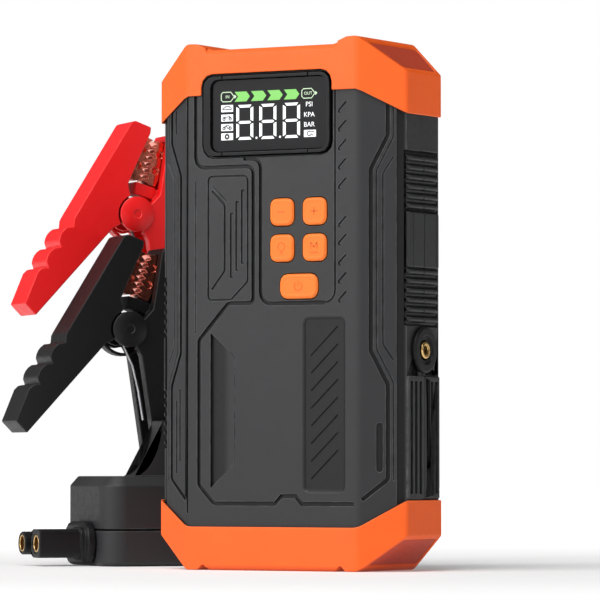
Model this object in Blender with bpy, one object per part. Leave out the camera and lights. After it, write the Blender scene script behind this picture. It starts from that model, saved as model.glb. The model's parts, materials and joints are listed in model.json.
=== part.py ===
"""Portable jump starter with an air pump, and its loose clamp lead set.

The unit stands upright on its base. +Z is up, the front with the display faces -Y,
and the origin is the centre of the underside. Sizes in this script are millimetres,
and every vertex is written in metres.
"""
import math

import bmesh
import bpy
from mathutils import Vector

MM = 0.001
GAP = 0.3              # clearance between pieces that touch
SPLIT = 0.15           # half of the gap between the case halves

# Unit: an upright case with an eight-sided plan, in millimetres
HEIGHT = 223.8
CAP_X = 60.5           # half width over the end caps
CAP_Y = 25.0           # half depth over the end caps
BODY_X = 59.2          # half width of the case between the caps
BODY_Y = 23.7
WALL = 2.4
FLAT_X = 41.6          # the front flat runs from -FLAT_X to +FLAT_X
SIDE_Y = 15.2          # the side flat runs from -SIDE_Y to +SIDE_Y
CORNER_DROP = 15.0     # height of the cut corners of the caps
EDGE_R = (8.0, 8.0, 2.5, 2.5, 8.0, 8.0, 2.5, 2.5)    # rounding of the upright edges
EDGE_STEPS = 3
CORNER_SLOPE = CORNER_DROP / (CAP_X - FLAT_X)
POCKET_DEPTH = 0.9
LIP_X = 31.0           # half width of the chamfer along the front edge of a cap
LIP_HEIGHT = 1.9
LIP_DEPTH = 1.5
LIP_RUN = 1.5          # how far its ends slope outwards
BODY_TOP = 218.4
BODY_FOOT = 6.0
BODY_DROP = 14.0

# Front panel
DISPLAY = (-2.4, 192.5, 61.6, 33.8)         # centre x, centre z, width, height
GLASS = (-1.4, 192.5, 56.8, 31.0)
BEZEL_GAP = 1.1        # width of the sunk line round the bezel
BEZEL_PROUD = 1.1
GLASS_SUNK = 0.3
BUTTONS = {
    "button_minus": (5.1, 150.9, 11.5, 11.4, 3.0),
    "button_plus": (20.9, 150.9, 11.5, 11.4, 3.0),
    "button_light": (5.1, 135.7, 11.5, 11.4, 3.0),
    "button_mode": (20.9, 135.7, 11.5, 11.4, 3.0),
    "button_power": (13.3, 119.5, 18.3, 10.4, 3.5),
}                      # centre x, centre z, width, height, corner radius
BUTTON_PROUD = 0.9
BUTTON_GAP = 0.4
PAD_DEPTH = 0.9        # the sunk pad with slanted lines
GROOVE = 1.6
GROOVE_DEPTH = 1.2
FINE = 0.7
FINE_DEPTH = 0.7

# Side faces
CHANNEL_T = 16.2       # where the corner channel starts on the slanted face
CHANNEL_Y = 13.6       # where it ends on the side face
CHANNEL_DEPTH = 1.25
GRIP_Y = 13.5
GRIP_RIGHT = (103.0, 175.6)
GRIP_LEFT = (52.0, 124.5)
VENT = (30.4, 81.6)
OUTLET_Z = 92.6
COVER = (0.0, 150.5, 25.0, 42.0)            # centre, centre z, width, height
SOCKET = (0.0, 160.5, 21.0, 11.0)
USB_A = (0.0, 144.5, 13.2, 5.8)
USB_C = (0.0, 135.5, 9.2, 3.4)
LAMP = (0.0, 183.0, 18.0, 8.0)
SURROUND = (13.0, 130.0, 169.5)             # half width, low z and high z of the wall around the ports
SURROUND_DEPTH = 2.6                        # how much thicker that wall is than the rest

# Pump, inside the right half
MOTOR_X = 34.0
MOTOR_Z = 45.0
GEAR_MODULE = 0.8
GEAR_TEETH = 30
PINION_TEETH = 10
GEAR_Z = MOTOR_Z + GEAR_MODULE * (GEAR_TEETH + PINION_TEETH) / 2 + 0.25
CRANK = 5.0
ROD_Y = 7.5

# Lead set: its own plan axes, turned from the unit's
LEAD_ORIGIN = Vector((-101.1, 5.1, 0.0))
LEAD_TURN = math.radians(51.0)
MODULE = (60.0, 58.0, 39.5)
MODULE_SEAM = 16.0
BOOT_TOP = 64.0
BOOT_X = 13.2          # where the boot starts to rise
PLUG_NEAR = 25.2       # reach of the square barrel from the module
PLUG_FAR = 26.8        # reach of the round barrel
CLAMP_TILT = math.radians(17.0)
CLAMPS = {
    "black": (17.6, 29.7, 104.6),
    "red": (29.8, 55.7, 157.2),
}
CLAMP_HALF = 11.0      # half thickness of a clamp
CLAMP_SLOT = 5.5       # half width of the channel inside a clamp
CHEEK = 8.2            # the moving half fits inside this at the pivot
LOBE_R = 8.0


def clear_scene():
    """Remove whatever the scene held."""
    for item in list(bpy.data.objects):
        bpy.data.objects.remove(item, do_unlink=True)


def make_material(name, color, roughness, metallic=0.0):
    """A plain Principled material."""
    material = bpy.data.materials.new(name)
    material.use_nodes = True
    shader = material.node_tree.nodes["Principled BSDF"]
    shader.inputs["Base Color"].default_value = (*color, 1.0)
    shader.inputs["Roughness"].default_value = roughness
    shader.inputs["Metallic"].default_value = metallic
    material.diffuse_color = (*color, 1.0)
    return material


FINISHES = {
    "orange": ((0.95, 0.16, 0.02), 0.45, 0.0),
    "charcoal": ((0.045, 0.046, 0.05), 0.55, 0.0),
    "black": ((0.012, 0.012, 0.014), 0.5, 0.0),
    "rubber": ((0.02, 0.02, 0.022), 0.75, 0.0),
    "key": ((1.0, 0.26, 0.03), 0.45, 0.0),
    "glass": ((0.01, 0.01, 0.012), 0.1, 0.0),
    "board": ((0.02, 0.16, 0.06), 0.5, 0.0),
    "cell": ((0.35, 0.37, 0.4), 0.35, 0.6),
    "steel": ((0.6, 0.6, 0.62), 0.3, 1.0),
    "brass": ((0.85, 0.6, 0.25), 0.3, 1.0),
    "copper": ((0.85, 0.42, 0.25), 0.3, 1.0),
    "aluminium": ((0.7, 0.71, 0.73), 0.4, 1.0),
    "gear": ((0.85, 0.83, 0.75), 0.5, 0.0),
    "lamp": ((0.9, 0.92, 0.95), 0.2, 0.0),
    "red": ((0.85, 0.012, 0.012), 0.4, 0.0),
}


def frame(origin, across, up, normal):
    """Return a function that places (across, up, out) coordinates in space."""
    start = Vector(origin)
    a_axis = Vector(across).normalized()
    b_axis = Vector(up).normalized()
    n_axis = Vector(normal).normalized()

    def place(a, b, n):
        return start + a * a_axis + b * b_axis + n * n_axis

    return place


def facet_frame(side):
    """The slanted face between the front and one side; across runs to the side."""
    run = Vector((side * (BODY_X - FLAT_X), BODY_Y - SIDE_Y, 0.0))
    outward = Vector((side * run.y, -abs(run.x), 0.0))
    return frame((side * FLAT_X, -BODY_Y, 0.0), run, (0, 0, 1), outward)


FRONT = frame((0, -BODY_Y, 0), (1, 0, 0), (0, 0, 1), (0, -1, 0))
RIGHT = frame((BODY_X, 0, 0), (0, 1, 0), (0, 0, 1), (1, 0, 0))
LEFT = frame((-BODY_X, 0, 0), (0, -1, 0), (0, 0, 1), (-1, 0, 0))
PLAN = frame((0, 0, 0), (1, 0, 0), (0, 1, 0), (0, 0, 1))
ELEVATION = frame((0, 0, 0), (1, 0, 0), (0, 0, 1), (0, -1, 0))
LEAD_X = Vector((math.cos(LEAD_TURN), math.sin(LEAD_TURN), 0.0))
LEAD_Y = Vector((-math.sin(LEAD_TURN), math.cos(LEAD_TURN), 0.0))
LEAD_PLAN = frame(LEAD_ORIGIN, LEAD_X, LEAD_Y, (0, 0, 1))
LEAD_ELEVATION = frame(LEAD_ORIGIN, LEAD_X, (0, 0, 1), -LEAD_Y)
LEAD_FACE = frame(LEAD_ORIGIN, LEAD_Y, (0, 0, 1), -LEAD_X)


def arc(centre, radius, start, end, steps):
    """Points on an arc, angles in degrees."""
    points = []
    for step in range(steps + 1):
        angle = math.radians(start + (end - start) * step / steps)
        points.append((centre[0] + radius * math.cos(angle), centre[1] + radius * math.sin(angle)))
    return points


def rounded(points, radius, steps=2, closed=True):
    """Round the corners of an outline; a radius may be given for each corner."""
    count = len(points)
    result = []
    for index, point in enumerate(points):
        size = radius[index] if isinstance(radius, (list, tuple)) else radius
        if size <= 0 or (not closed and index in (0, count - 1)):
            result.append(tuple(point))
            continue
        here = Vector(point)
        before = (Vector(points[index - 1]) - here).normalized()
        after = (Vector(points[(index + 1) % count]) - here).normalized()
        half = before.angle(after) / 2
        reach = size / math.tan(half)
        middle = here + (before + after).normalized() * (size / math.sin(half))
        start = here + before * reach - middle
        end = here + after * reach - middle
        sweep = start.angle_signed(end)
        for step in range(steps + 1):
            turn = -sweep * step / steps
            cos, sin = math.cos(turn), math.sin(turn)
            result.append((middle.x + start.x * cos - start.y * sin,
                           middle.y + start.x * sin + start.y * cos))
    return result


def rectangle(centre_a, centre_b, width, height, radius=0.0, steps=3):
    """A rectangle outline with rounded corners."""
    a, b = width / 2, height / 2
    corners = [(centre_a - a, centre_b - b), (centre_a + a, centre_b - b),
               (centre_a + a, centre_b + b), (centre_a - a, centre_b + b)]
    return rounded(corners, radius, steps) if radius > 0 else corners


def octagon(half_x, half_y, flat_x=FLAT_X, side_y=SIDE_Y, radius=EDGE_R):
    """The plan of the case."""
    corners = [(-flat_x, -half_y), (flat_x, -half_y), (half_x, -side_y), (half_x, side_y),
               (flat_x, half_y), (-flat_x, half_y), (-half_x, side_y), (-half_x, -side_y)]
    return rounded(corners, radius, EDGE_STEPS)


class Shape:
    """Closed bodies gathered in one mesh."""

    def __init__(self):
        self.mesh = bmesh.new()

    def skin(self, rings, loop=False):
        """Join rings of points with faces; a loop joins the last ring to the first."""
        made = [[self.mesh.verts.new(Vector(point) * MM) for point in ring] for ring in rings]
        count = len(made[0])
        pairs = list(zip(made, made[1:]))
        if loop:
            pairs.append((made[-1], made[0]))
        else:
            self.mesh.faces.new(made[0])
            self.mesh.faces.new(made[-1])
        for low, high in pairs:
            for index in range(count):
                after = (index + 1) % count
                self.mesh.faces.new((low[index], low[after], high[after], high[index]))
        return self

    def prism(self, outline, place, low, high):
        """Extrude an outline along the frame's normal."""
        rings = [[place(a, b, n) for a, b in outline] for n in (low, high)]
        return self.skin(rings)

    def bar(self, outlines, place, levels):
        """Join outlines of equal length at the given levels along the normal."""
        rings = [[place(a, b, n) for a, b in outline] for outline, n in zip(outlines, levels)]
        return self.skin(rings)

    def box(self, low, high):
        """A plain block between two corners."""
        outline = [(low[0], low[1]), (high[0], low[1]), (high[0], high[1]), (low[0], high[1])]
        return self.prism(outline, PLAN, low[2], high[2])

    def turned(self, profile, place, centre=(0.0, 0.0), segments=20, loop=False):
        """Turn (radius, level) points about the normal through centre."""
        rings = []
        for radius, level in profile:
            ring = []
            for index in range(segments):
                angle = 2 * math.pi * index / segments
                ring.append(place(centre[0] + radius * math.cos(angle),
                                  centre[1] + radius * math.sin(angle), level))
            rings.append(ring)
        return self.skin(rings, loop)

    def ribbon(self, path, width, place, low, high, loop=False):
        """A band of the given width along a path."""
        rings = []
        count = len(path)
        for index, point in enumerate(path):
            here = Vector(point)
            before = Vector(path[index - 1]) if index or loop else None
            after = Vector(path[(index + 1) % count]) if index < count - 1 or loop else None
            first = (here - before).normalized() if before is not None else None
            second = (after - here).normalized() if after is not None else None
            first = first if first is not None else second
            second = second if second is not None else first
            side = Vector((-(first + second).y, (first + second).x)).normalized()
            reach = width / 2 / max(0.3, side.dot(Vector((-first.y, first.x))))
            left, right = here + side * reach, here - side * reach
            rings.append([place(left.x, left.y, low), place(right.x, right.y, low),
                          place(right.x, right.y, high), place(left.x, left.y, high)])
        return self.skin(rings, loop)

    def tube(self, path, radius, sides=8):
        """A round bar along a path in space."""
        rings = []
        points = [Vector(point) for point in path]
        last = len(points) - 1
        side = None
        for index, point in enumerate(points):
            along = (points[min(index + 1, last)] - points[max(index - 1, 0)]).normalized()
            if side is None:
                side = along.orthogonal().normalized()
            side = (side - along * side.dot(along)).normalized()
            other = along.cross(side)
            ring = []
            for step in range(sides):
                angle = 2 * math.pi * step / sides
                ring.append(point + radius * (side * math.cos(angle) + other * math.sin(angle)))
            rings.append(ring)
        return self.skin(rings)

    def build(self, name, finish=None, smooth=False, origin=None):
        """Turn the gathered bodies into an object; without a finish it is a cutter."""
        bmesh.ops.recalc_face_normals(self.mesh, faces=self.mesh.faces)
        data = bpy.data.meshes.new(name)
        if origin is not None:
            bmesh.ops.translate(self.mesh, verts=self.mesh.verts, vec=-Vector(origin) * MM)
        self.mesh.to_mesh(data)
        self.mesh.free()
        item = bpy.data.objects.new(name, data)
        bpy.context.scene.collection.objects.link(item)
        if origin is not None:
            item.location = Vector(origin) * MM
        if finish is None:
            item.hide_render = True
            item.display_type = "WIRE"
            return item
        data.materials.append(make_material(name + "_finish", *FINISHES[finish]))
        if smooth:
            data.shade_smooth()
            data.set_sharp_from_angle(angle=math.radians(35))
        return item


def combine(item, other, operation):
    """Add a Boolean modifier."""
    modifier = item.modifiers.new(operation.title(), "BOOLEAN")
    modifier.operation = operation
    modifier.solver = "EXACT"
    modifier.object = other


def cut(item, *cutters):
    """Take cutters away from an object."""
    for cutter in cutters:
        combine(item, cutter, "DIFFERENCE")


# ---------------------------------------------------------------- case and caps

def end_outline(half_x, top, foot, drop):
    """The front outline of the case, with its four cut corners."""
    return [(-half_x, foot + drop), (-FLAT_X, foot), (FLAT_X, foot), (half_x, foot + drop),
            (half_x, top - drop), (FLAT_X, top), (-FLAT_X, top), (-half_x, top - drop)]


def case_block(name, inset, finish=None):
    """The solid case, shrunk or grown by an inset on every side."""
    slope = inset * 0.45
    plan = octagon(BODY_X - inset, BODY_Y - inset, FLAT_X - slope, SIDE_Y - slope)
    block = Shape().prism(plan, PLAN, 0.0, HEIGHT).build(name, finish)
    outline = end_outline(BODY_X - inset, BODY_TOP - inset, BODY_FOOT + inset, BODY_DROP)
    ends = Shape().prism(outline, ELEVATION, -CAP_Y - 5, CAP_Y + 5).build(name + "_ends")
    combine(block, ends, "INTERSECT")
    return block


def cap_silhouette(skirt_front, skirt_side, recess):
    """The front view of a cap as (x, distance from its end), with soft corners."""
    if recess:
        notch = [((29.5, recess), 2.0), ((36.5, 0.2), 3.0)]
    else:
        notch = [((31.0, 0.0), 0.0), ((33.4, 2.8), 0.8), ((36.0, 0.0), 0.8)]
    right = notch + [((FLAT_X, 0.0), 4.0), ((CAP_X + 1, CORNER_DROP + 0.8), 0.0),
                     ((CAP_X + 1, skirt_side), 0.0), ((CAP_X - 0.2, skirt_side), 3.0),
                     ((FLAT_X, skirt_front), 8.0)]
    points = right + [((-x, depth), size) for (x, depth), size in reversed(right)]
    return rounded([point for point, _ in points], [size for _, size in points], 3)


def end_cap(name, end, inward, skirt_front, skirt_side, recess):
    """One orange end cap at height end; inward is the sign of Z into the case."""
    def place_z(depth):
        return end + inward * depth

    levels = sorted((place_z(0.0), place_z(40.0)))
    cap = Shape().prism(octagon(CAP_X, CAP_Y), PLAN, *levels).build(name, "orange")
    outline = [(x, place_z(depth)) for x, depth in cap_silhouette(skirt_front, skirt_side, recess)]
    trim = Shape().prism(outline, ELEVATION, -CAP_Y - 5, CAP_Y + 5).build(name + "_trim")
    combine(cap, trim, "INTERSECT")
    lips = Shape()
    for side in (-1, 1):
        lip = [(-LIP_X - LIP_RUN, -1.0, LIP_DEPTH * 1.5), (LIP_X + LIP_RUN, -1.0, LIP_DEPTH * 1.5),
               (LIP_X, LIP_HEIGHT, 0.0), (-LIP_X, LIP_HEIGHT, 0.0)]
        floor = [Vector((x, side * (CAP_Y - depth), place_z(recess + rise))) for x, rise, depth in lip]
        lid = [Vector((x, side * (CAP_Y + 2), place_z(recess + rise))) for x, rise, depth in lip]
        lips.skin([floor, lid])
    pockets = Shape()
    for side in (-1, 1):
        plan = pocket_plan()
        depths = [(x - FLAT_X) * CORNER_SLOPE + POCKET_DEPTH for x, _ in plan]
        floor = [Vector((side * x, y, place_z(depth))) for (x, y), depth in zip(plan, depths)]
        lid = [Vector((side * x, y, place_z(-5.0))) for x, y in plan]
        pockets.skin([floor, lid])
    cut(cap, lips.build(name + "_lips"), pockets.build(name + "_pockets"),
        case_block(name + "_space", -GAP))
    return cap


def pocket_plan():
    """The plan of the shallow pocket on a cut corner of a cap."""
    inner, outer = FLAT_X + 2.4, CAP_X - 2.4
    plan = [(inner, -CAP_Y + 3.4), (outer, -SIDE_Y + 0.9), (outer, SIDE_Y - 0.9), (inner, CAP_Y - 3.4)]
    return rounded(plan, 1.6, 2)


def make_caps():
    """The two moulded end caps."""
    top = end_cap("top_cap", HEIGHT, -1, 22.3, 32.8, 3.0)
    window = rectangle(DISPLAY[0], DISPLAY[1] - 6, DISPLAY[2] + 2 * BEZEL_GAP,
                       DISPLAY[3] + 12 + 2 * BEZEL_GAP, 5.4)
    cut(top, Shape().prism(window, FRONT, -3.0, 4.0).build("display_window"))
    end_cap("bottom_cap", 0.0, 1, 18.4, 30.0, 0.0)


def front_grooves():
    """The engraved lines of the front face, as bodies that don't cross."""
    lines = Shape()
    low, high = -GROOVE_DEPTH, 1.0
    band = [(-37.6, 203.0), (-37.6, 170.8), (-9.2, 170.8), (-9.2, 112.9), (-21.5, 112.9),
            (-35.9, 97.5), (-35.9, 36.1), (-28.5, 28.2), (1.5, 28.2), (4.5, 31.4), (11.5, 31.4),
            (14.5, 28.2), (39.4, 28.2)]
    radii = [0, 4.5, 3.0, 2.0, 2.5, 2.5, 2.5, 2.5, 0, 0, 0, 0, 0]
    lines.ribbon(rounded(band, radii, 3, closed=False), GROOVE, FRONT, low, high)
    control = [(-14.0, 174.0), (-5.6, 174.0), (-5.6, 112.5), (25.6, 112.5)]
    lines.ribbon(rounded(control, [0, 4.0, 5.0, 0], 4, closed=False), GROOVE, FRONT, low, high)
    crest = [(-31.3, 166.9), (-11.9, 166.9), (-11.9, 122.0), (-20.0, 114.5), (-31.3, 114.5)]
    lines.ribbon(rounded(crest, [1.5, 2, 2, 2, 1.5], 2), FINE, FRONT, -FINE_DEPTH, high, loop=True)
    shield = [(-29.6, 160.9), (-23.2, 154.9), (-23.2, 126.7), (-29.6, 118.8)]
    lines.ribbon(rounded(shield, 1.5, 1, closed=False), 0.9, FRONT, -FINE_DEPTH, high)
    lines.ribbon([(-29.6, 163.2), (-22.2, 156.2)], 0.4, FRONT, -0.4, high)
    for x, top, foot in ((-20.2, 151.0, 124.0), (-17.5, 155.8, 127.0), (-14.8, 160.6, 130.0)):
        hook = [(x + 1.3, top), (x, top), (x, foot), (x + 0.9, foot - 0.3)]
        lines.ribbon(hook, 0.8, FRONT, -FINE_DEPTH, high)
    for z in (194.4, 186.6, 178.6, 170.7, 162.5, 146.5, 138.9, 130.5, 122.9, 115.0):
        tick = [(35.9, z + 1.9), (32.4, z - 1.5), (32.4, z - 2.2), (33.2, z - 2.8)]
        lines.ribbon(tick, 0.75, FRONT, -FINE_DEPTH, high)
    lines.ribbon([(-37.6, 165.5), (-37.6, 100.5)], 0.4, FRONT, -0.4, high)
    lines.ribbon([(-41.8, 203.0), (-41.8, 24.0)], 0.9, FRONT, -GROOVE_DEPTH, high)
    pad = [rectangle(25.2, 69.8, width, height, corner, 2)
           for width, height, corner in ((18.4, 71.6, 1.6), (20.8, 74.0, 2.6), (20.8, 74.0, 2.6))]
    lines.bar(pad, FRONT, (-PAD_DEPTH, 0.0, high))
    wedge = [(-30.2, 100.4), (-18.2, 90.0), (-18.2, 45.4), (-30.2, 34.8)]
    depths = (-1.4, -0.05, -0.05, -1.4)
    floor = [FRONT(a, b, n) for (a, b), n in zip(wedge, depths)]
    lines.skin([floor, [FRONT(a, b, high) for a, b in wedge]])
    return lines.build("front_lines")


def hatch_lines():
    """The slanted lines on the sunk pad, and the thin right seam of the key panel."""
    lines = Shape()
    for step in range(8):
        z = 38.6 + step * 7.4
        lines.ribbon([(18.6, z), (31.4, z + 12.0)], 0.5, FRONT, -PAD_DEPTH - 0.45, -0.2)
    seam = rounded([(25.0, 112.5), (30.6, 112.5), (30.6, 203.0)], [0, 5.0, 0], 4, closed=False)
    lines.ribbon(seam, FINE, FRONT, -FINE_DEPTH, 1.0)
    return lines.build("front_hatch")


def facet_grooves(side):
    """The bracket-shaped lines and the small slots of a slanted face."""
    place = facet_frame(side)
    lines = Shape()
    bracket = [(12.5, 205.0), (12.5, 182.0), (5.4, 168.0), (5.4, 92.0), (12.5, 78.0), (12.5, 38.5),
               (1.6, 30.0)]
    lines.ribbon(rounded(bracket, [0, 3, 3, 3, 3, 2, 0], 2, closed=False), GROOVE, place,
                 -GROOVE_DEPTH, 1.0)
    second = [(14.8, 205.0), (14.8, 181.2), (7.7, 167.2), (7.7, 92.8), (14.8, 78.8), (14.8, 38.0)]
    lines.ribbon(rounded(second, [0, 3, 3, 3, 3, 0], 2, closed=False), 0.5, place, -0.5, 1.0)
    third = [(14.9, 173.0), (10.4, 166.0), (10.4, 95.0), (14.9, 88.0)]
    lines.ribbon(rounded(third, [0, 2, 2, 0], 2, closed=False), 0.5, place, -0.5, 1.0)
    if side > 0:
        lines.prism(rectangle(9.0, 51.8, 2.6, 20.6, 1.2, 2), place, -FINE_DEPTH, 1.0)
    else:
        for t, low, high in ((6.0, 46.0, 77.0), (8.6, 41.0, 72.0), (9.2, 186.0, 196.0)):
            lines.ribbon([(t, low), (t, high)], 0.9, place, -FINE_DEPTH, 1.0)
    return lines.build("facet_lines_" + ("right" if side > 0 else "left"))


def corner_channel(side):
    """The deep channel between a slanted face and the side face."""
    place = facet_frame(side)
    on_facet = [place(CHANNEL_T, 0.0, depth) for depth in (3.0, -CHANNEL_DEPTH)]
    far = [Vector((side * x, -CHANNEL_Y, 0.0)) for x in (BODY_X - CHANNEL_DEPTH, CAP_X + 3)]
    ring = on_facet + far
    lift = [Vector((0.0, 0.0, z)) for z in (20.0, 206.0)]
    return Shape().skin([[point + up for point in ring] for up in lift]).build("channel_%d" % side)


def side_openings():
    """Everything that opens the side faces of both case halves."""
    pockets = Shape()
    for place, (low, high) in ((RIGHT, GRIP_RIGHT), (LEFT, GRIP_LEFT)):
        pad = rectangle(0.0, (low + high) / 2, 2 * GRIP_Y + 0.8, high - low + 0.8)
        pockets.prism(pad, place, -1.3, 3.0)
    pockets.prism(rectangle(COVER[0], COVER[1], COVER[2] + 0.8, COVER[3] + 0.8), LEFT, -1.2, 3.0)
    pockets.prism(rectangle(*LAMP[:2], LAMP[2] + 0.6, LAMP[3] + 0.6), LEFT, -WALL - 1, 3.0)
    pockets.turned([(4.3, -WALL - 1), (4.3, 3.0)], RIGHT, (0.0, OUTLET_Z), 16)
    ports = Shape()
    for centre, z, width, height in (SOCKET, USB_A, USB_C):
        mouth = rectangle(centre, z, width + 0.6, height + 0.6)
        ports.prism(mouth, LEFT, -WALL - SURROUND_DEPTH - 1, 0.0)
    slots = Shape()
    for y in (-11.0, -7.1, -3.2, 3.2, 7.1, 11.0):
        slot = rectangle(y, (VENT[0] + VENT[1]) / 2, 2.2, VENT[1] - VENT[0] - 4.0)
        slots.prism(slot, RIGHT, -WALL - 1, 3.0)
    return (pockets.build("side_pockets"), ports.build("side_ports"), slots.build("vent_slots"))


SCREWS = [(-40.0, 15.5), (40.0, 15.5), (-40.0, 208.0), (40.0, 208.0)]
BACK = frame((0, 0, 0), (-1, 0, 0), (0, 0, 1), (0, 1, 0))


def post_shape(radius, low, high, segments=12):
    """Round posts at the four screw places, along Y."""
    posts = Shape()
    for x, z in SCREWS:
        posts.turned([(radius, low), (radius, high)], BACK, (-x, z), segments)
    return posts


def half_case(name, side):
    """One half of the case: a tray with its vent lip, port surround and screw posts."""
    rear = side > 0
    shell = case_block(name, 0.0, "charcoal")
    lip = Shape().box((BODY_X - 1.5, -GRIP_Y, VENT[0]), (CAP_X - 0.2, GRIP_Y, VENT[1]))
    combine(shell, lip.build(name + "_lip"), "UNION")
    cut(shell, case_block(name + "_space", WALL))
    across, low, high = SURROUND
    inner = WALL - BODY_X
    surround = Shape().box((inner - 0.5, -across, low), (inner + SURROUND_DEPTH, across, high))
    combine(shell, surround.build(name + "_surround"), "UNION")
    far = side * (BODY_Y - 1.9)
    radius, near = (4.8, 4.6) if rear else (3.6, 4.0)
    combine(shell, post_shape(radius, *sorted((near, far))).build(name + "_posts"), "UNION")
    limits = (SPLIT, CAP_Y + 5) if rear else (-CAP_Y - 5, -SPLIT)
    half = Shape().box((-CAP_X - 5, limits[0], -1.0), (CAP_X + 5, limits[1], HEIGHT + 1))
    combine(shell, half.build(name + "_half"), "INTERSECT")
    if rear:
        cut(shell, post_shape(3.9, 8.0, CAP_Y + 5).build(name + "_counterbores"),
            post_shape(1.9, 4.0, 9.0).build(name + "_clearance"))
    else:
        combine(shell, post_shape(3.6, -SPLIT, 4.3).build(name + "_post_tops"), "UNION")
        cut(shell, post_shape(1.9, -9.0, 6.0).build(name + "_threads"))
    return shell


def make_case():
    """Both halves of the case with their openings and engraved lines."""
    front = half_case("front_shell", -1)
    rear = half_case("rear_shell", 1)
    sides = side_openings()
    cut(front, *sides)
    cut(rear, *sides)
    sunk = rectangle(DISPLAY[0], DISPLAY[1], DISPLAY[2] + 2 * BEZEL_GAP, DISPLAY[3] + 2 * BEZEL_GAP, 5.6)
    cut(front, Shape().prism(sunk, FRONT, -GROOVE_DEPTH, 3.0).build("bezel_line"))
    holes = Shape().prism(rectangle(*DISPLAY[:2], DISPLAY[2] + 0.6, DISPLAY[3] + 0.6, 5.0),
                          FRONT, -WALL - 1, 3.0)
    for x, z, width, height, corner in BUTTONS.values():
        hole = rectangle(x, z, width + 2 * BUTTON_GAP, height + 2 * BUTTON_GAP, corner + BUTTON_GAP)
        holes.prism(hole, FRONT, -WALL - 1, 3.0)
    cut(front, holes.build("front_holes"), front_grooves(), hatch_lines(),
        facet_grooves(1), facet_grooves(-1), corner_channel(1), corner_channel(-1))
    panel = rounded([(-34.0, 172.0), (34.0, 172.0), (34.0, 40.0), (-34.0, 40.0)], 5.0, 3)
    rear_place = frame((0, BODY_Y, 0), (-1, 0, 0), (0, 0, 1), (0, 1, 0))
    cut(rear, Shape().ribbon(panel, GROOVE, rear_place, -GROOVE_DEPTH, 1.0, loop=True).build("rear_line"))


# ---------------------------------------------------------------- front pieces

def make_display():
    """The bezel, the glass and the display board behind it."""
    outer = rectangle(*DISPLAY, 4.7)
    bezel = Shape().prism(outer, FRONT, -3.4, BEZEL_PROUD).build("display_bezel", "black")
    inner = rectangle(*GLASS, 3.4)
    notches = Shape()
    for x in (-24.0, 18.0):
        for z in (DISPLAY[1] - DISPLAY[3] / 2 + 0.5, DISPLAY[1] + DISPLAY[3] / 2 - 0.5):
            notches.box((x - 0.3, -BODY_Y - 2.0, z - 1.4), (x + 0.3, -BODY_Y - 0.3, z + 1.4))
    cut(bezel, Shape().prism(inner, FRONT, -5.0, 3.0).build("bezel_window"), notches.build("bezel_notches"))
    glass = rectangle(GLASS[0], GLASS[1], GLASS[2] - 0.6, GLASS[3] - 0.6, 3.1)
    Shape().prism(glass, FRONT, -1.5, -GLASS_SUNK).build("display_lens", "glass")
    panel = rectangle(GLASS[0], GLASS[1], 55.0, 28.0, 3.0, 2)
    Shape().prism(panel, FRONT, -3.6, -1.8).build("display_panel", "board")


def make_buttons():
    """Five keys with a flange behind the case wall."""
    for name, (x, z, width, height, corner) in BUTTONS.items():
        levels = (-2.8, BUTTON_PROUD - 0.7, BUTTON_PROUD - 0.2, BUTTON_PROUD)
        rings = [rectangle(x, z, width - 2 * inset, height - 2 * inset, corner - inset)
                 for inset in (0.0, 0.0, 0.25, 0.85)]
        key = Shape().bar(rings, FRONT, levels)
        item = key.build(name, "key", smooth=True, origin=FRONT(x, z, 0.0))
        flange = rectangle(x, z, width + 2.0, height + 2.0)
        combine(item, Shape().prism(flange, FRONT, -3.6, -WALL - GAP).build(name + "_flange"), "UNION")


# ---------------------------------------------------------------- side pieces

def rib_profile(low, high, block, peak):
    """The comb outline of a ribbed pad, with a plain block in the middle."""
    base, valley, pitch = -1.0, -0.6, 4.0
    points = [(base, low), (valley, low)]
    z = low + 0.6
    while z + pitch < high:
        if block[0] - 1.0 < z + pitch / 2 < block[1] - 1.0:
            crest = peak * 1.15
            points += [(valley, block[0]), (crest, block[0] + 0.6)]
            points += [(crest, block[1] - 0.6), (valley, block[1])]
            z = block[1] + 0.4
            continue
        points += [(valley, z + 0.4), (peak, z + 0.9), (peak, z + 2.5), (valley, z + 3.0)]
        z += pitch
    return points + [(valley, high), (base, high)]


def make_grip(name, place, limits, block):
    """A ribbed rubber pad with chamfered ends and a parting line down its middle."""
    rings = []
    for across, peak in ((-GRIP_Y, 0.1), (-GRIP_Y + 1.1, 1.1), (GRIP_Y - 1.1, 1.1), (GRIP_Y, 0.1)):
        rings.append([place(across, z, n) for n, z in rib_profile(*limits, block, peak)])
    pad = Shape().skin(rings).build(name, "rubber")
    lines = Shape()
    lines.ribbon([(0.0, limits[0] + 0.3), (0.0, limits[1] - 0.3)], 0.5, place, -0.3, 3.0)
    for across in (-GRIP_Y + 3.4, GRIP_Y - 3.4):
        lines.ribbon([(across, block[0] - 0.3), (across, block[1] + 0.3)], 0.4, place, 0.75, 3.0)
    cut(pad, lines.build(name + "_lines"))


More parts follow.
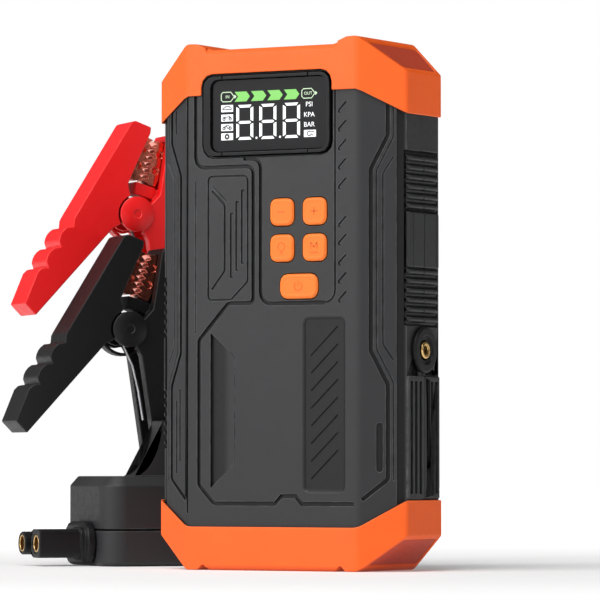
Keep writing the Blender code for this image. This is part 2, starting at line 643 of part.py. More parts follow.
def make_sides():
    """The rubber pads, the air outlet, the ports, their cover and the lamp."""
    make_grip("side_grip_right", RIGHT, GRIP_RIGHT, (126.6, 150.6))
    make_grip("side_grip_left", LEFT, GRIP_LEFT, (76.0, 100.0))
    boss = [(4.3, GAP), (9.7, GAP), (9.7, 1.5), (9.0, 2.2), (6.2, 2.2), (5.8, 1.2), (4.3, 1.2)]
    Shape().turned(boss, RIGHT, (0.0, OUTLET_Z), 24, loop=True).build("outlet_boss", "black", smooth=True)
    tube = [(2.3, -9.0), (3.4, -9.0), (3.4, -3.6), (3.8, -3.0), (3.8, 1.6), (3.4, 2.0), (2.3, 2.0)]
    Shape().turned(tube, RIGHT, (0.0, OUTLET_Z), 16, loop=True).build("air_outlet", "brass", smooth=True)
    hollow_port("output_socket", SOCKET, 16.0, "black", 2.0)
    hollow_port("usb_a_port", USB_A, 12.0, "steel", 0.6)
    hollow_port("usb_c_port", USB_C, 9.0, "steel", 0.6)
    lid = rectangle(*COVER, 2.0, 2)
    cover = Shape().prism(lid, LEFT, -0.9, 0.9)
    cover.build("socket_cover", "rubber", origin=LEFT(COVER[0] - COVER[2] / 2, COVER[1], 0.9))
    lens = Shape().prism(rectangle(*LAMP, 1.5, 2), LEFT, -2.0, 0.5)
    lens.build("lamp_lens", "lamp")
    Shape().prism(rectangle(LAMP[0], LAMP[1], 20.0, 9.0), LEFT, -4.4, -2.8).build("lamp_board", "board")


def hollow_port(name, place_size, depth, finish, wall):
    """A port shell that opens to the left side."""
    outer = rectangle(*place_size)
    centre, z, width, height = place_size
    port = Shape().prism(outer, LEFT, -depth, -1.4).build(name, finish)
    hole = rectangle(centre, z, width - 2 * wall, height - 2 * wall)
    cut(port, Shape().prism(hole, LEFT, -depth + 2.0, 1.0).build(name + "_hole"))


# ---------------------------------------------------------------- inside the case

def make_battery():
    """Four pouch cells side by side, and the boards."""
    for index in range(4):
        y = -17.4 + index * 8.8
        plan = rounded([(-43.0, y), (-5.4, y), (-5.4, y + 8.4), (-43.0, y + 8.4)], 1.4, 1)
        Shape().prism(plan, PLAN, 22.0, 128.0).build("battery_cell_%d" % (index + 1), "cell")
    Shape().box((-40.0, 18.6, 30.0), (20.0, 20.2, 168.0)).build("main_board", "board")
    Shape().box((-4.0, -18.2, 114.0), (31.0, -16.6, 158.0)).build("control_board", "board")


def gear_outline(teeth):
    """A spur gear outline with thin teeth, which leave backlash."""
    pitch_r = GEAR_MODULE * teeth / 2
    root_r = pitch_r - 1.25 * GEAR_MODULE
    tip_r = pitch_r + 0.85 * GEAR_MODULE
    points = []
    for index in range(teeth):
        middle = 2 * math.pi * index / teeth
        for radius, share in ((root_r, -0.29), (tip_r, -0.09), (tip_r, 0.09), (root_r, 0.29)):
            angle = middle + share * 2 * math.pi / teeth
            points.append((radius * math.cos(angle), radius * math.sin(angle)))
    return points


def make_pump():
    """Motor, gear pair, frame, cylinder, piston rod and the pipe to the outlet."""
    motor = [(6.0, -17.6), (13.2, -17.0), (13.2, 1.6), (12.4, 2.4), (4.0, 2.4), (4.0, 3.0)]
    Shape().turned(motor, BACK, (-MOTOR_X, MOTOR_Z), 20).build("motor_can", "steel", smooth=True)
    turn_to = math.pi / 2
    pinion_points = rotate(gear_outline(PINION_TEETH), turn_to + math.pi / PINION_TEETH)
    gear_points = rotate(gear_outline(GEAR_TEETH), -turn_to)
    pinion_points = shift(pinion_points, -MOTOR_X, MOTOR_Z)
    gear_points = shift(gear_points, -MOTOR_X, GEAR_Z)
    shaft = Shape().turned([(1.2, 3.4), (1.2, 11.0)], BACK, (-MOTOR_X, MOTOR_Z), 10).build("pinion_shaft")
    pinion = Shape().prism(pinion_points, BACK, 10.0, 14.0)
    pinion = pinion.build("motor_pinion", "brass", origin=BACK(-MOTOR_X, MOTOR_Z, 0.0))
    combine(pinion, shaft, "UNION")
    gear = Shape().prism(gear_points, BACK, 10.0, 14.0)
    gear = gear.build("drive_gear", "gear", origin=BACK(-MOTOR_X, GEAR_Z, 0.0))
    bore = Shape().turned([(1.8, 8.0), (1.8, 16.0)], BACK, (-MOTOR_X, GEAR_Z), 12)
    cut(gear, bore.build("gear_bore"))
    plate = Shape().prism(rectangle(-MOTOR_X, 54.0, 30.0, 42.0, 3.0, 2), BACK, 3.4, 5.0)
    plate = plate.build("pump_frame", "aluminium")
    axle = Shape().turned([(1.5, 4.0), (1.5, 14.6)], BACK, (-MOTOR_X, GEAR_Z), 12)
    cut(plate, Shape().turned([(1.6, 2.0), (1.6, 6.0)], BACK, (-MOTOR_X, MOTOR_Z), 12).build("frame_hole"))
    combine(plate, axle.build("gear_axle"), "UNION")
    barrel = [(8.0, 78.0), (9.0, 78.0)]
    for step in range(4):
        z = 80.0 + step * 4.4
        barrel += [(9.0, z), (10.0, z + 0.3), (10.0, z + 1.7), (9.0, z + 2.0)]
    barrel += [(9.0, 98.0), (10.2, 98.4), (10.2, 102.0), (8.0, 102.0)]
    cylinder = Shape().turned(barrel, PLAN, (MOTOR_X, ROD_Y), 14, loop=True)
    cylinder.build("pump_cylinder", "aluminium", smooth=True)
    piston = [(3.0, 84.0), (7.6, 84.4), (7.6, 92.0), (3.0, 92.0)]
    piston = Shape().turned(piston, PLAN, (MOTOR_X, ROD_Y), 16).build("piston_rod", "steel", smooth=True)
    eye_z = GEAR_Z + CRANK
    link = [(-MOTOR_X - 1.7, eye_z), (-MOTOR_X + 1.7, eye_z), (-MOTOR_X + 2.2, 85.0),
            (-MOTOR_X - 2.2, 85.0)]
    combine(piston, Shape().prism(link, BACK, 5.9, 9.1).build("rod_link"), "UNION")
    eye = Shape().turned([(2.9, 5.7), (2.9, 9.3)], BACK, (-MOTOR_X, eye_z), 12)
    combine(piston, eye.build("rod_eye"), "UNION")
    elbow = [(MOTOR_X, ROD_Y, 102.4), (MOTOR_X, ROD_Y, 104.8), (MOTOR_X + 2.5, 6.5, 107.0),
             (MOTOR_X + 7.0, 4.5, 107.0), (MOTOR_X + 11.0, 2.6, 104.0), (MOTOR_X + 12.4, 1.2, 99.0),
             (MOTOR_X + 12.8, 0.3, 95.4), (MOTOR_X + 13.8, 0.0, 93.2), (BODY_X - 9.4, 0.0, OUTLET_Z)]
    Shape().tube(elbow, 1.6, 8).build("air_pipe", "rubber", smooth=True)


def rotate(points, angle):
    """Turn an outline about its origin."""
    cos, sin = math.cos(angle), math.sin(angle)
    return [(x * cos - y * sin, x * sin + y * cos) for x, y in points]


def shift(points, across, up):
    """Move an outline."""
    return [(x + across, y + up) for x, y in points]


def make_screws():
    """The four screws that hold the case halves."""
    profile = [(1.4, -7.0), (1.4, 8.3), (3.3, 8.3), (3.3, 9.6), (2.4, 10.4)]
    for index, (x, z) in enumerate(SCREWS):
        screw = Shape().turned(profile, BACK, (-x, z), 12)
        screw.build("case_screw_%d" % (index + 1), "steel", smooth=True)


# ---------------------------------------------------------------- lead set

def module_plan(inset):
    """The rounded plan of the cable module."""
    corners = [(inset, inset), (MODULE[0] - inset, inset),
               (MODULE[0] - inset, MODULE[1] - inset), (inset, MODULE[1] - inset)]
    return rounded(corners, 10.0 - inset, 4)


def make_module():
    """The two shells of the module, its board and the cable boot."""
    seam = MODULE_SEAM
    lower = Shape().bar([module_plan(1.2), module_plan(0.0), module_plan(0.0)], LEAD_PLAN,
                        (0.0, 1.4, seam - 0.3))
    lower = lower.build("module_lower", "charcoal", smooth=True)
    cut(lower, Shape().prism(module_plan(2.4), LEAD_PLAN, 2.6, seam + 5).build("module_lower_space"))
    tail = rectangle(MODULE[1] / 2, 9.6, 26.6, 8.6)
    cut(lower, Shape().prism(tail, LEAD_FACE, -6.0, 6.0).build("module_plug_hole"))
    upper = Shape().bar([module_plan(0.0), module_plan(0.0), module_plan(3.6)], LEAD_PLAN,
                        (seam + 0.3, MODULE[2] - 4.2, MODULE[2]))
    upper = upper.build("module_upper", "charcoal", smooth=True)
    boot = [(BOOT_X + 2.0, MODULE[2] - 2.0)]
    rise = BOOT_TOP - MODULE[2] + 1.5
    for step in range(9):
        angle = math.radians(6 + 10 * step)
        boot.append((BOOT_X + 14.2 * math.sin(angle), BOOT_TOP + 1.5 - rise * math.cos(angle)))
    boot += [(BOOT_X + 14.4, BOOT_TOP), (51.2, BOOT_TOP), (52.8, 49.0), (54.0, MODULE[2] - 2.0)]
    boot = Shape().prism(boot, LEAD_ELEVATION, -17.4, -4.2).build("module_boot")
    combine(upper, boot, "UNION")
    space = Shape().prism(module_plan(2.4), LEAD_PLAN, seam - 5, MODULE[2] - 4.4)
    cut(upper, space.build("module_upper_space"))
    glands = Shape()
    for x in (34.0, 44.6):
        glands.turned([(4.1, 46.0), (4.1, BOOT_TOP + 2)], LEAD_PLAN, (x, 10.8), 14)
    cut(upper, glands.build("module_glands"))
    board = rectangle(MODULE[0] / 2, MODULE[1] / 2, 46.0, 46.0)
    Shape().prism(board, LEAD_PLAN, 17.0, 18.6).build("module_board", "board")


def make_plug():
    """The twin plug on the module's end, and its two contact sleeves."""
    middle, z = MODULE[1] / 2, 10.0
    stadium = arc((middle + 8.0, z), 9.5, -90, 90, 8) + arc((middle - 8.0, z), 9.5, 90, 270, 8)
    small = arc((middle + 8.0, z), 8.0, -90, 90, 8) + arc((middle - 8.0, z), 8.0, 90, 270, 8)
    plug = Shape().bar([stadium, stadium, small], LEAD_FACE, (GAP, 3.6, 4.4))
    plug = plug.build("plug_body", "black")
    tail = Shape().prism(rectangle(middle, 9.6, 26.0, 8.0), LEAD_FACE, -4.6, 1.0)
    near, far = middle - 7.6, middle + 7.6
    square = Shape().prism(rectangle(near, z, 12.6, 12.6, 2.4, 2), LEAD_FACE, 3.0, PLUG_NEAR)
    collar = Shape().prism(rectangle(middle, z, 20.0, 9.0), LEAD_FACE, 3.0, 22.0)
    step = Shape().prism(rectangle(near, z, 14.6, 14.6, 4.4, 3), LEAD_FACE, 3.0, 6.4)
    barrel = Shape().turned([(5.1, 3.0), (5.1, PLUG_FAR - 0.5), (4.8, PLUG_FAR)], LEAD_FACE, (far, z), 20)
    for name, shape in (("plug_tail", tail), ("plug_step", step), ("plug_square", square),
                        ("plug_collar", collar), ("plug_barrel", barrel)):
        combine(plug, shape.build(name), "UNION")
    bores = Shape()
    bores.turned([(4.2, 9.0), (4.2, 31.0)], LEAD_FACE, (near, z), 20)
    bores.turned([(4.2, 9.0), (4.2, 31.0)], LEAD_FACE, (far, z), 20)
    dot = [(0.55, PLUG_NEAR - 1.2), (0.55, PLUG_NEAR + 2.0)]
    for rise in (-4.4, 0.0, 4.4):
        bores.turned(dot, LEAD_FACE, (near + 5.3, z + rise), 8)
    cut(plug, bores.build("plug_bores"))
    for name, across, reach in (("plug_contact_1", near, PLUG_NEAR), ("plug_contact_2", far, PLUG_FAR)):
        end = reach - 0.2
        sleeve = Shape().turned([(3.1, 9.4), (3.9, 9.4), (3.9, end), (3.1, end)], LEAD_FACE,
                                (across, z), 20, loop=True)
        sleeve.build(name, "brass", smooth=True)


def clamp_frame(pivot):
    """A clamp's own axes: across, up along the jaws, and out of its front."""
    x, y, z = pivot
    origin = LEAD_PLAN(x, y, z)
    across = LEAD_X * math.cos(CLAMP_TILT) - Vector((0, 0, math.sin(CLAMP_TILT)))
    up = LEAD_X * math.sin(CLAMP_TILT) + Vector((0, 0, math.cos(CLAMP_TILT)))
    return frame(origin, across, up, -LEAD_Y)


def finger_edge():
    """The outer edge of a handle, with two finger bumps and a rounded end step."""
    start, end = Vector((-32.8, -35.9)), Vector((-26.9, -14.7))
    out = Vector((-(end - start).y, (end - start).x)).normalized()
    away = (start - end).normalized()
    points = []
    for along, height in ((4.4, 3.1), (2.0, 2.5), (0.7, 1.2)):
        point = start + away * along + out * height
        points.append((point.x, point.y))
    for step in range(13):
        share = step / 12
        point = start.lerp(end, share) + out * 3.2 * math.sqrt(abs(math.sin(2 * math.pi * share)))
        points.append((point.x, point.y))
    return points


def half_outline(lobe):
    """The left half of a clamp, with a round lobe at the pivot."""
    jaw = [(-27.6, -11.4), (-27.3, -9.6), (-14.6, 38.8), (-12.9, 40.0), (-5.0, 39.5), (-4.5, 36.8),
           (-7.2, 17.8), (-7.9, 11.6)]
    tip = [(-8.9, -9.7), (-32.0, -57.9), (-38.4, -54.4)]
    return jaw + arc((0, 0), lobe, 130, -130, 10) + tip + finger_edge()


def slot_outline():
    """The channel inside a clamp half, open on its inner side."""
    return [(-23.0, -8.0), (-12.4, 36.0), (4.0, 36.0), (9.0, 10.0), (9.0, -10.0), (-14.0, -54.0),
            (-31.6, -53.0), (-30.9, -42.0), (-24.6, -14.0)]


def mirrored(points, side):
    """Flip an outline for the right half."""
    return [(side * x, z) for x, z in points]


def jaw_outline():
    """A toothed copper jaw of the left half."""
    points = [(-10.6, 34.6), (-6.4, 15.2), (-3.4, 15.2)]
    teeth = 6
    for step in range(teeth):
        z = 16.4 + step * 3.0
        points += [(-0.5, z), (-0.5, z + 0.9), (-2.2, z + 2.0)]
    return points + [(-0.5, 35.2), (-3.2, 35.6)]


def spring_guard(place):
    """The curved band of the moving half that runs below the spring."""
    band = arc((0, 0), 11.8, 198, 318, 12) + arc((0, 0), 10.4, 318, 198, 12)
    root = arc((0, 0), 12.0, 190, 208, 2) + arc((0, 0), 10.2, 208, 190, 2)
    return (Shape().prism(band, place, -3.4, 3.4).build("guard_band"),
            Shape().prism(root, place, -CLAMP_SLOT - 0.4, CLAMP_SLOT + 0.4).build("guard_root"))


def make_half(colour, part, side, place):
    """One moulded half of a clamp, with its handle."""
    name = "%s_clamp_%s_half" % (colour, part)
    lobe = LOBE_R if side > 0 else LOBE_R - 1.0
    item = Shape().prism(mirrored(half_outline(lobe), -side), place, -CLAMP_HALF, CLAMP_HALF)
    item = item.build(name, colour, origin=place(0, 0, 0))
    channel = Shape().prism(mirrored(slot_outline(), -side), place, -CLAMP_SLOT, CLAMP_SLOT)
    cut(item, channel.build(name + "_slot"))
    waist = Shape()
    if side < 0:
        for low, high in ((CHEEK, CLAMP_HALF + 2), (-CLAMP_HALF - 2, -CHEEK)):
            waist.turned([(LOBE_R + 0.6, low), (LOBE_R + 0.6, high)], place, (0, 0), 28)
    else:
        waist.turned([(LOBE_R + 0.9, -CHEEK - GAP), (LOBE_R + 0.9, CHEEK + GAP)], place, (0, 0), 28)
    bore = Shape().turned([(2.3, -CLAMP_HALF - 3), (2.3, CLAMP_HALF + 3)], place, (0, 0), 12)
    cut(item, waist.build(name + "_waist"), bore.build(name + "_bore"))
    if side < 0:
        for shape in spring_guard(place):
            combine(item, shape, "UNION")
    else:
        throat = [(-2.2, 9.2), (9.6, 9.2), (9.6, 13.2), (6.0, 14.7), (-3.4, 14.7)]
        block = Shape().prism(throat, place, -CLAMP_SLOT - 0.3, CLAMP_SLOT + 0.3)
        combine(item, block.build(name + "_throat"), "UNION")


def make_jaw(colour, part, side, place):
    """A toothed copper jaw, with round hollows in its faces."""
    jaw = Shape().prism(mirrored(jaw_outline(), -side), place, -5.1, 5.1)
    jaw = jaw.build("%s_clamp_%s_jaw" % (colour, part), "copper", origin=place(0, 0, 0))
    hollows = Shape()
    for z in (22.2, 29.8):
        for low, high in ((-7.0, -3.4), (3.4, 7.0)):
            hollows.turned([(1.7, low), (1.7, high)], place, (side * 4.3, z), 12)
    cut(jaw, hollows.build("jaw_hollows"))


def make_clamp(colour, pivot):
    """One clamp: two handle halves, two jaws, a pin and a spring."""
    place = clamp_frame(pivot)
    for side, part in ((-1, "moving"), (1, "fixed")):
        make_half(colour, part, side, place)
        make_jaw(colour, part, side, place)
    pin = [(2.0, -11.6), (2.0, 11.6)]
    Shape().turned(pin, place, (0, 0), 12).build(colour + "_clamp_pin", "steel", smooth=True)
    make_spring(colour + "_clamp_spring", place)


def make_spring(name, place):
    """A wire coil round the pin, with an arm to each handle."""
    path = []
    steps, turns, reach = 10, 3, 4.4
    for step in range(steps * turns + 1):
        share = step / (steps * turns)
        angle = math.radians(200) - 2 * math.pi * turns * share
        path.append(place(3.9 * math.cos(angle), 3.9 * math.sin(angle), -reach + 2 * reach * share))
    lead = [(-6.4, -6.6, -reach), (-5.4, -4.2, -reach)]
    tail = [(2.2, -8.0, reach), (8.0, -14.0, reach), (14.0, -24.0, reach), (20.0, -36.0, reach)]
    points = [place(*point) for point in lead] + path + [place(*point) for point in tail]
    Shape().tube(points, 0.75, 6).build(name, "steel", smooth=True)


def main():
    """Build the unit and its lead set."""
    clear_scene()
    make_case()
    make_caps()
    make_display()
    make_buttons()
    make_sides()
    make_battery()
    make_pump()
    make_screws()
    make_module()
    make_plug()
    for colour, pivot in CLAMPS.items():
        make_clamp(colour, pivot)


main()
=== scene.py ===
"""Looks of the jump starter and its clamp lead set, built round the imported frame."""
import json
import math

import bmesh
import bpy
from mathutils import Matrix, Vector

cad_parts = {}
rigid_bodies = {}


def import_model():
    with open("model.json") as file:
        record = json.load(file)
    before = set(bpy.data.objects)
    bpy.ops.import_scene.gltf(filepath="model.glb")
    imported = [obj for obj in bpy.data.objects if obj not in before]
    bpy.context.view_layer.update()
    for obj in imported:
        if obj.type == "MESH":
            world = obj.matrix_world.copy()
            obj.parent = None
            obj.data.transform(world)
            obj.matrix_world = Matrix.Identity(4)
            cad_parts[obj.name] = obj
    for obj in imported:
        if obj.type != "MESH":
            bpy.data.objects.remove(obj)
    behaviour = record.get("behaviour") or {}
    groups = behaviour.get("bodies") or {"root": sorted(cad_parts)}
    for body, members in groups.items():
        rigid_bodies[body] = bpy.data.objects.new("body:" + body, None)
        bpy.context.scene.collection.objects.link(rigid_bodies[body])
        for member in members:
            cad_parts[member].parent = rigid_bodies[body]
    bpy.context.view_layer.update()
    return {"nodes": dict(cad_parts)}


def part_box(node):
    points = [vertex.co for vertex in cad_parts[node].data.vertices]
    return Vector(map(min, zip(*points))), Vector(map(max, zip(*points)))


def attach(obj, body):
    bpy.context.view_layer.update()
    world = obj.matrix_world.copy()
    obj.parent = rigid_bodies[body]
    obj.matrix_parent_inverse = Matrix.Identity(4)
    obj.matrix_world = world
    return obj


for item in list(bpy.data.objects):
    bpy.data.objects.remove(item, do_unlink=True)

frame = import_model()

MM = 0.001


# ---------------------------------------------------------------- places from the frame

def box_mm(node):
    """A node's lowest and highest corners, in millimetres."""
    low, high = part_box(node)
    return Vector(low) / MM, Vector(high) / MM


LENS_LOW, LENS_HIGH = box_mm("display_lens")
LENS_FRONT = LENS_LOW.y
OUTLET_LOW, OUTLET_HIGH = box_mm("air_outlet")
OUTLET = (OUTLET_LOW + OUTLET_HIGH) / 2
CASE_X = 59.2          # half width of the case
CASE_Y = 23.7          # half depth of the case
CASE_FLAT = 41.6       # where the front face ends and the slanted face starts
CASE_SIDE = 15.2       # where the slanted face ends and the side face starts
LEAD_TURN = math.radians(51.0)
CLAMP_TILT = math.radians(17.0)
LEAD_X = Vector((math.cos(LEAD_TURN), math.sin(LEAD_TURN), 0.0))
LEAD_Y = Vector((-math.sin(LEAD_TURN), math.cos(LEAD_TURN), 0.0))


def placer(origin, across, up, normal):
    """Turn (across, up, out) coordinates into a point in space."""
    start = Vector(origin)
    a_axis, b_axis, n_axis = (Vector(axis).normalized() for axis in (across, up, normal))

    def place(a, b, n):
        return start + a * a_axis + b * b_axis + n * n_axis

    return place


FRONT = placer((0, 0, 0), (1, 0, 0), (0, 0, 1), (0, -1, 0))
RIGHT = placer((0, 0, 0), (0, 1, 0), (0, 0, 1), (1, 0, 0))


def clamp_placer(colour):
    """A clamp's own axes, from the place of its pivot pin."""
    low, high = box_mm(colour + "_clamp_pin")
    across = LEAD_X * math.cos(CLAMP_TILT) - Vector((0, 0, math.sin(CLAMP_TILT)))
    up = LEAD_X * math.sin(CLAMP_TILT) + Vector((0, 0, math.cos(CLAMP_TILT)))
    return placer((low + high) / 2, across, up, -LEAD_Y)


# ---------------------------------------------------------------- mesh tools

def arc(centre, radius, start, end, steps):
    """Points on an arc, angles in degrees."""
    points = []
    for step in range(steps + 1):
        angle = math.radians(start + (end - start) * step / steps)
        points.append((centre[0] + radius * math.cos(angle), centre[1] + radius * math.sin(angle)))
    return points


def rounded_box(x, z, width, height, radius, steps=3):
    """A rectangle outline with round corners."""
    a, b = width / 2 - radius, height / 2 - radius
    points = []
    for sign_x, sign_z, start in ((1, -1, -90), (1, 1, 0), (-1, 1, 90), (-1, -1, 180)):
        points += arc((x + sign_x * a, z + sign_z * b), radius, start, start + 90, steps)
    return points


class Piece:
    """Closed bodies gathered in one mesh."""

    def __init__(self):
        self.mesh = bmesh.new()

    def skin(self, rings, loop=False):
        """Join rings of points with faces."""
        made = [[self.mesh.verts.new(Vector(point) * MM) for point in ring] for ring in rings]
        count = len(made[0])
        pairs = list(zip(made, made[1:]))
        if loop:
            pairs.append((made[-1], made[0]))
        else:
            self.mesh.faces.new(made[0])
            self.mesh.faces.new(made[-1])
        for low, high in pairs:
            for index in range(count):
                after = (index + 1) % count
                self.mesh.faces.new((low[index], low[after], high[after], high[index]))
        return self

    def prism(self, outline, place, low, high):
        """Extrude an outline along the frame's normal."""
        return self.skin([[place(a, b, n) for a, b in outline] for n in (low, high)])

    def turned(self, profile, place, centre, segments=32, loop=False):
        """Turn (radius, level) points about the normal through centre."""
        rings = []
        for radius, level in profile:
            ring = arc(centre, radius, 0, 360, segments)[:-1]
            rings.append([place(a, b, level) for a, b in ring])
        return self.skin(rings, loop)

    def stroke(self, path, width, place, low, high):
        """A flat line of the given width along an open path."""
        rings = []
        last = len(path) - 1
        for index, point in enumerate(path):
            here = Vector(point)
            run = (Vector(path[min(index + 1, last)]) - Vector(path[max(index - 1, 0)])).normalized()
            side = Vector((-run.y, run.x)) * width / 2
            left, right = here + side, here - side
            rings.append([place(*left, low), place(*right, low), place(*right, high), place(*left, high)])
        return self.skin(rings)

    def text(self, words, size, x, z, place_y, depth):
        """Plain lettering on the front, centred at x and z."""
        curve = bpy.data.curves.new("words", "FONT")
        curve.body = words
        curve.size = size * MM
        curve.extrude = depth * MM / 2
        curve.align_x = "CENTER"
        curve.align_y = "CENTER"
        holder = bpy.data.objects.new("words", curve)
        bpy.context.scene.collection.objects.link(holder)
        bpy.context.view_layer.update()
        data = bpy.data.meshes.new_from_object(holder.evaluated_get(bpy.context.evaluated_depsgraph_get()))
        spot = Matrix.Translation(Vector((x, place_y, z)) * MM)
        data.transform(spot @ Matrix.Rotation(math.radians(90), 4, "X"))
        self.mesh.from_mesh(data)
        bpy.data.objects.remove(holder, do_unlink=True)
        return self

    def build(self, name, body, slot, material, smooth=False):
        """Finish the piece, hang it on its body and give it its material."""
        bmesh.ops.recalc_face_normals(self.mesh, faces=self.mesh.faces)
        data = bpy.data.meshes.new(name)
        self.mesh.to_mesh(data)
        self.mesh.free()
        piece = bpy.data.objects.new(name, data)
        bpy.context.scene.collection.objects.link(piece)
        data.materials.append(material)
        if smooth:
            data.shade_smooth()
            data.set_sharp_from_angle(angle=math.radians(40))
        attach(piece, body)
        return piece


# ---------------------------------------------------------------- materials

class Shader:
    """A Principled material with helpers for its nodes."""

    def __init__(self, name, roughness, metallic=0.0):
        self.material = bpy.data.materials.new(name)
        self.material.use_nodes = True
        self.tree = self.material.node_tree
        self.bsdf = self.tree.nodes["Principled BSDF"]
        self.bsdf.inputs["Roughness"].default_value = roughness
        self.bsdf.inputs["Metallic"].default_value = metallic
        self.spots = self.add("ShaderNodeTexCoord").outputs["Object"]

    def add(self, kind, **inputs):
        """A node with its inputs set or linked."""
        node = self.tree.nodes.new(kind)
        for name, value in inputs.items():
            socket = node.inputs[name.replace("_", " ")]
            if isinstance(value, bpy.types.NodeSocket):
                self.tree.links.new(value, socket)
            else:
                socket.default_value = value
        return node

    def noise(self, size, detail=2.0, rough=0.5, stretch=None):
        """Noise with features of the given size in millimetres."""
        spots = self.spots
        if stretch is not None:
            spots = self.add("ShaderNodeMapping", Vector=spots, Scale=stretch).outputs["Vector"]
        node = self.add("ShaderNodeTexNoise", Vector=spots, Scale=1.0 / (size * MM), Detail=detail,
                        Roughness=rough)
        return node.outputs["Fac"]

    def span(self, value, low, high, to_low, to_high):
        """Map a range of values to another."""
        node = self.tree.nodes.new("ShaderNodeMapRange")
        self.tree.links.new(value, node.inputs[0])
        for index, number in enumerate((low, high, to_low, to_high)):
            node.inputs[index + 1].default_value = number
        return node.outputs[0]

    def mix(self, factor, first, second):
        """Blend two colours, each a tuple or a socket."""
        node = self.tree.nodes.new("ShaderNodeMix")
        node.data_type = "RGBA"
        self.tree.links.new(factor, node.inputs["Factor"])
        for socket, value in ((node.inputs[6], first), (node.inputs[7], second)):
            if isinstance(value, tuple):
                socket.default_value = (*value, 1.0)
            else:
                self.tree.links.new(value, socket)
        return node.outputs[2]

    def edges(self, radius):
        """A mask that is 1 on sharp outer edges."""
        round_normal = self.add("ShaderNodeBevel", Radius=radius * MM)
        round_normal.samples = 4
        flat_normal = self.add("ShaderNodeNewGeometry").outputs["Normal"]
        dot = self.tree.nodes.new("ShaderNodeVectorMath")
        dot.operation = "DOT_PRODUCT"
        self.tree.links.new(round_normal.outputs[0], dot.inputs[0])
        self.tree.links.new(flat_normal, dot.inputs[1])
        return self.span(dot.outputs["Value"], 0.995, 0.93, 0.0, 1.0)

    def hollow_shade(self, reach, darkest):
        """A factor for painted shade, falling in grooves and between parts."""
        node = self.add("ShaderNodeAmbientOcclusion", Distance=reach * MM)
        node.samples = 6
        node.only_local = False
        return self.span(node.outputs["AO"], 0.25, 0.85, darkest, 1.0)

    def across_fade(self, low, high):
        """Fade between two distances from the middle plane, along X, in millimetres."""
        place = self.add("ShaderNodeNewGeometry").outputs["Position"]
        parts = self.add("ShaderNodeSeparateXYZ", Vector=place)
        return self.span(self.maths("ABSOLUTE", parts.outputs["X"]), low * MM, high * MM, 0.0, 1.0)

    def maths(self, operation, *values):
        """One Math node on sockets or numbers."""
        node = self.tree.nodes.new("ShaderNodeMath")
        node.operation = operation
        for socket, value in zip(node.inputs, values):
            if isinstance(value, bpy.types.NodeSocket):
                self.tree.links.new(value, socket)
            else:
                socket.default_value = value
        return node.outputs[0]

    def case_depth(self):
        """How far a place lies below the upright faces of the case, in millimetres."""
        place = self.add("ShaderNodeNewGeometry").outputs["Position"]
        parts = self.add("ShaderNodeSeparateXYZ", Vector=place)
        across = self.maths("MULTIPLY", self.maths("ABSOLUTE", parts.outputs["X"]), 1.0 / MM)
        back = self.maths("MULTIPLY", self.maths("ABSOLUTE", parts.outputs["Y"]), 1.0 / MM)
        run, rise = CASE_X - CASE_FLAT, CASE_Y - CASE_SIDE
        size = math.hypot(run, rise)
        across_part = self.maths("MULTIPLY", across, rise / size)
        back_part = self.maths("MULTIPLY", back, run / size)
        slant = self.maths("ADD", across_part, back_part)
        reach = (CASE_FLAT * rise + CASE_Y * run) / size
        faces = (self.maths("SUBTRACT", CASE_X, across), self.maths("SUBTRACT", CASE_Y, back),
                 self.maths("SUBTRACT", reach, slant))
        return self.maths("MINIMUM", faces[0], self.maths("MINIMUM", faces[1], faces[2]))

    def bump(self, height, depth):
        """Raise the surface by the height map, depth in millimetres."""
        node = self.add("ShaderNodeBump", Height=height, Distance=depth * MM, Strength=1.0)
        self.tree.links.new(node.outputs["Normal"], self.bsdf.inputs["Normal"])
        return node

    def colour(self, socket):
        """Set the surface colour."""
        self.tree.links.new(socket, self.bsdf.inputs["Base Color"])

    def rough(self, socket):
        """Set the roughness from a map."""
        self.tree.links.new(socket, self.bsdf.inputs["Roughness"])


def scaled(colour, factor):
    """A colour made darker or lighter."""
    return tuple(min(1.0, channel * factor) for channel in colour)


def moulded(name, colour, roughness, grain=0.45, depth=0.012, worn_and_lit_edge=None, wear_and_highlight=0.35, reach=2.2,
            darkest=0.25, specular=0.4, spread=0.07, sunk=None):
    """Moulded plastic or rubber: fine spark texture, soft mottling, edges lightened partly by scuffing and
    partly as a painted highlight, and painted shade in grooves and between parts.

    With sunk, a function of the shader that is 0 in a groove and 1 on the surface, grooves are painted dark as
    shade.
    """
    shader = Shader(name, roughness)
    shader.bsdf.inputs["Specular IOR Level"].default_value = specular
    cloud = shader.noise(18.0, 3.0, 0.6)
    base = shader.mix(cloud, scaled(colour, 0.9), scaled(colour, 1.1))
    # Edges lightened towards a paler colour: partly real scuffing, partly a painted highlight.
    edge = shader.edges(0.6)
    patches = shader.span(shader.noise(5.0, 4.0, 0.7), 0.35, 0.65, 0.0, wear_and_highlight)
    rub_and_highlight = shader.maths("MULTIPLY", edge, patches)
    base = shader.mix(rub_and_highlight, base, worn_and_lit_edge if worn_and_lit_edge else scaled(colour, 1.8))
    # Painted shade: ambient occlusion darkens grooves and places between parts.
    gap_shade = shader.hollow_shade(reach, darkest)
    base = shader.mix(gap_shade, scaled(colour, 0.12), base)
    # Painted shade: the bottom of grooves is darkened further by position.
    if sunk is not None:
        base = shader.mix(sunk(shader), scaled(colour, 0.1), base)
    shader.colour(base)
    fine = shader.noise(grain, 2.0, 0.6)
    shader.rough(shader.span(shader.noise(2.5, 4.0, 0.65), 0.3, 0.7, roughness - spread, roughness + spread))
    shader.bump(fine, depth)
    return shader.material


